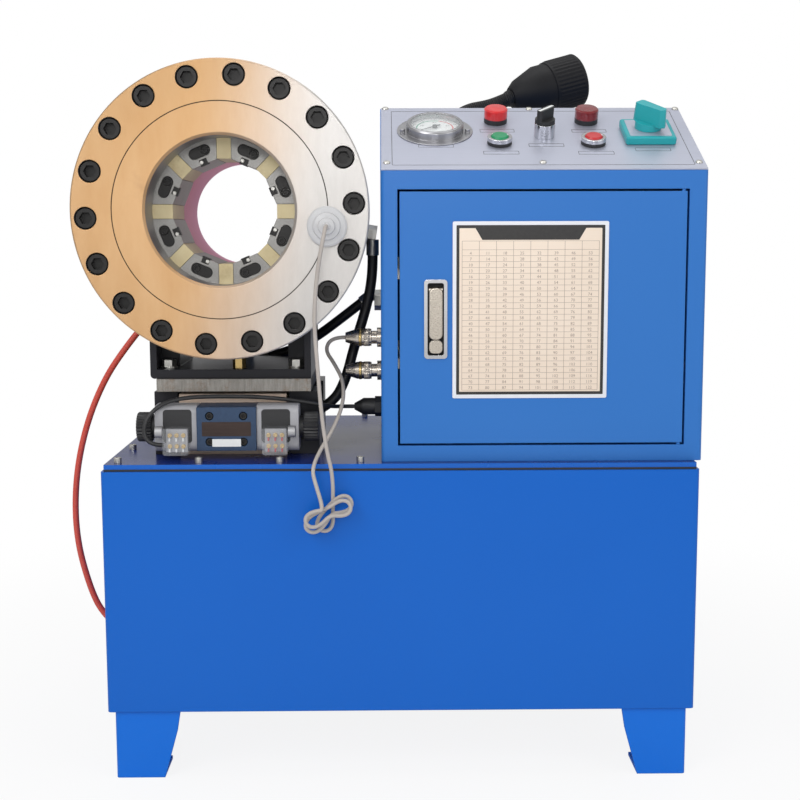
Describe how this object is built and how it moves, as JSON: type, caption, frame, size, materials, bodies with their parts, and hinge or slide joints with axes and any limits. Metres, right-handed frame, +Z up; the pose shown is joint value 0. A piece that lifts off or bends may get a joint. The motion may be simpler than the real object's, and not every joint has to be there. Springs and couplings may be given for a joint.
{
  "type": "hose crimping machine",
  "caption": "Bench hydraulic hose crimper: ring head with radial shoes on an oil tank, beside a control cabinet with sloping panel and door.",
  "frame": {"origin": "on the floor, under the middle of the box that holds every rigid piece", "axes": "+Z up, +Y from the operator's side to the back along the crimping head's axis, +X to the operator's right"},
  "size_m": [0.7782, 0.5338, 0.9056],
  "materials": {
    "blue_paint": "glossy enamel",
    "gasket_rubber": "matt",
    "cover_paint": "glossy",
    "zinc": "zinc plated",
    "black_plastic": "matt moulded",
    "panel_plate": "brushed",
    "chrome": "polished",
    "gauge_chrome": "polished",
    "clear_glass": "clear",
    "needle_black": "satin",
    "red_lens": "translucent moulded",
    "green_button": "gloss",
    "red_button": "gloss",
    "teal_plastic": "matt moulded",
    "flange_steel": "turned and ground",
    "cylinder_steel": "turned",
    "black_steel": "black oxide",
    "polyurethane": "satin",
    "rough_steel": "flame cut",
    "black_paint": "satin",
    "manifold_paint": "machined",
    "valve_paint": "satin",
    "coil_plastic": "moulded",
    "black_rubber": "satin",
    "red_rubber": "satin",
    "grey_cable": "satin sheath",
    "sensor_plastic": "moulded",
    "motor_paint": "cast, painted",
    "pump_aluminium": "cast",
    "shoe_steel": "ground"
  },
  "bodies": {
    "machine": {"tank": "blue_paint", "tank_feet": "blue_paint", "cover_gasket": "gasket_rubber", "tank_cover": "cover_paint", "cover_bolts": "zinc", "tank_fittings": "black_plastic", "cabinet": "blue_paint", "cabinet_back": "blue_paint", "control_panel": "panel_plate", "die_shelves": "zinc", "gauge_case": "gauge_chrome", "gauge_glass": "clear_glass", "panel_collars": "chrome", "pilot_lenses": "red_lens", "front_flange": "flange_steel", "cylinder": "cylinder_steel", "rear_cover": "cylinder_steel", "head_screws": "black_steel", "spring_blocks": "polyurethane", "riser_blocks": "black_steel", "base_plate": "rough_steel", "saddle": "black_paint", "mount_bolts": "zinc", "manifold": "manifold_paint", "valve_body": "valve_paint", "solenoids": "coil_plastic", "coil_nuts": "black_plastic", "hose_fittings": "zinc", "feed_hose": "black_rubber", "return_hose": "black_rubber", "drain_hose": "red_rubber", "sensor_cable_drop": "grey_cable", "sensor_cable_hank": "grey_cable", "sensor_cable_rise": "grey_cable", "magnet_sensor": "sensor_plastic", "valve_cable": "black_rubber", "motor": "motor_paint", "pump": "pump_aluminium", "lamp_base": "black_plastic"},
    "piston": {"piston": "cylinder_steel"},
    "door": {"door": "blue_paint", "latch_case": "chrome"},
    "latch_lever": {"latch_lever": "chrome"},
    "latch_button": {"latch_button": "chrome"},
    "start_button": {"start_button": "green_button"},
    "stop_button": {"stop_button": "red_button"},
    "selector_knob": {"selector_knob": "black_plastic"},
    "cam_switch_knob": {"cam_switch_knob": "teal_plastic"},
    "gauge_needle": {"gauge_needle": "needle_black"},
    "motor_rotor": {"motor_rotor": "cylinder_steel"},
    "lamp_neck": {"lamp_neck": "black_plastic"},
    "lamp_head": {"lamp_head": "black_plastic"},
    "shoe_1": {"shoe_1": "shoe_steel"},
    "shoe_2": {"shoe_2": "shoe_steel"},
    "shoe_3": {"shoe_3": "shoe_steel"},
    "shoe_4": {"shoe_4": "shoe_steel"},
    "shoe_5": {"shoe_5": "shoe_steel"},
    "shoe_6": {"shoe_6": "shoe_steel"},
    "shoe_7": {"shoe_7": "shoe_steel"},
    "shoe_8": {"shoe_8": "shoe_steel"}
  },
  "joints": [
    {"name": "piston_slide", "type": "slide", "parent": "machine", "child": "piston", "axis": [0, -1, 0], "range_m": [0, 0.06], "deforming": ["spring_blocks"]},
    {"name": "shoe_1_slide", "type": "slide", "parent": "machine", "child": "shoe_1", "axis": [-0.3827, 0, -0.9239], "range_m": [0, 0.0165]},
    {"name": "shoe_2_slide", "type": "slide", "parent": "machine", "child": "shoe_2", "axis": [-0.9239, 0, -0.3827], "range_m": [0, 0.0165]},
    {"name": "shoe_3_slide", "type": "slide", "parent": "machine", "child": "shoe_3", "axis": [-0.9239, 0, 0.3827], "range_m": [0, 0.0165]},
    {"name": "shoe_4_slide", "type": "slide", "parent": "machine", "child": "shoe_4", "axis": [-0.3827, 0, 0.9239], "range_m": [0, 0.0165]},
    {"name": "shoe_5_slide", "type": "slide", "parent": "machine", "child": "shoe_5", "axis": [0.3827, 0, 0.9239], "range_m": [0, 0.0165]},
    {"name": "shoe_6_slide", "type": "slide", "parent": "machine", "child": "shoe_6", "axis": [0.9239, 0, 0.3827], "range_m": [0, 0.0165]},
    {"name": "shoe_7_slide", "type": "slide", "parent": "machine", "child": "shoe_7", "axis": [0.9239, 0, -0.3827], "range_m": [0, 0.0165]},
    {"name": "shoe_8_slide", "type": "slide", "parent": "machine", "child": "shoe_8", "axis": [0.3827, 0, -0.9239], "range_m": [0, 0.0165]},
    {"name": "door_hinge", "type": "hinge", "parent": "machine", "child": "door", "pos_m": [0.3382, -0.21749, 0.531], "axis": [0, 0, 1], "range_deg": [0, 110]},
    {"name": "lever_hinge", "type": "hinge", "parent": "door", "child": "latch_lever", "pos_m": [0.0519, -0.21549, 0.5826], "axis": [-1, 0, 0], "range_deg": [0, 40], "stiffness_Nm_per_rad": 0.05},
    {"name": "latch_button_slide", "type": "slide", "parent": "door", "child": "latch_button", "axis": [0, 1, 0], "range_m": [0, 0.003], "stiffness_N_per_m": 400},
    {"name": "start_button_slide", "type": "slide", "parent": "machine", "child": "start_button", "axis": [0, 0.441, -0.8975], "range_m": [0, 0.004], "stiffness_N_per_m": 400},
    {"name": "stop_button_slide", "type": "slide", "parent": "machine", "child": "stop_button", "axis": [0, 0.441, -0.8975], "range_m": [0, 0.004], "stiffness_N_per_m": 400},
    {"name": "selector_turn", "type": "hinge", "parent": "machine", "child": "selector_knob", "pos_m": [0.1862, -0.1323, 0.764], "axis": [0, -0.441, 0.8975], "range_deg": [0, 90]},
    {"name": "cam_switch_turn", "type": "hinge", "parent": "machine", "child": "cam_switch_knob", "pos_m": [0.3112, -0.13185, 0.76422], "axis": [0, -0.441, 0.8975], "range_deg": [0, 90]},
    {"name": "needle_turn", "type": "hinge", "parent": "machine", "child": "gauge_needle", "pos_m": [0.0546, -0.11829, 0.77088], "axis": [0, 0.441, -0.8975], "range_deg": [0, 270]},
    {"name": "rotor_spin", "type": "hinge", "parent": "machine", "child": "motor_rotor", "pos_m": [0.1772, 0.05051, 0.481], "axis": [0, 0, 1], "continuous": true},
    {"name": "neck_swivel", "type": "hinge", "parent": "machine", "child": "lamp_neck", "pos_m": [0.0827, 0.18251, 0.778], "axis": [0, 0, 1], "range_deg": [-15, 90]},
    {"name": "lamp_tilt", "type": "hinge", "parent": "lamp_neck", "child": "lamp_head", "pos_m": [0.1747, 0.18751, 0.84], "axis": [0.3021, -0.9533, 0], "range_deg": [-12, 30]}
  ],
  "couplings": [
    {"joint": "shoe_1_slide", "follows": "piston_slide", "ratio": 0.27333},
    {"joint": "shoe_2_slide", "follows": "piston_slide", "ratio": 0.27333},
    {"joint": "shoe_3_slide", "follows": "piston_slide", "ratio": 0.27333},
    {"joint": "shoe_4_slide", "follows": "piston_slide", "ratio": 0.27333},
    {"joint": "shoe_5_slide", "follows": "piston_slide", "ratio": 0.27333},
    {"joint": "shoe_6_slide", "follows": "piston_slide", "ratio": 0.27333},
    {"joint": "shoe_7_slide", "follows": "piston_slide", "ratio": 0.27333},
    {"joint": "shoe_8_slide", "follows": "piston_slide", "ratio": 0.27333}
  ]
}
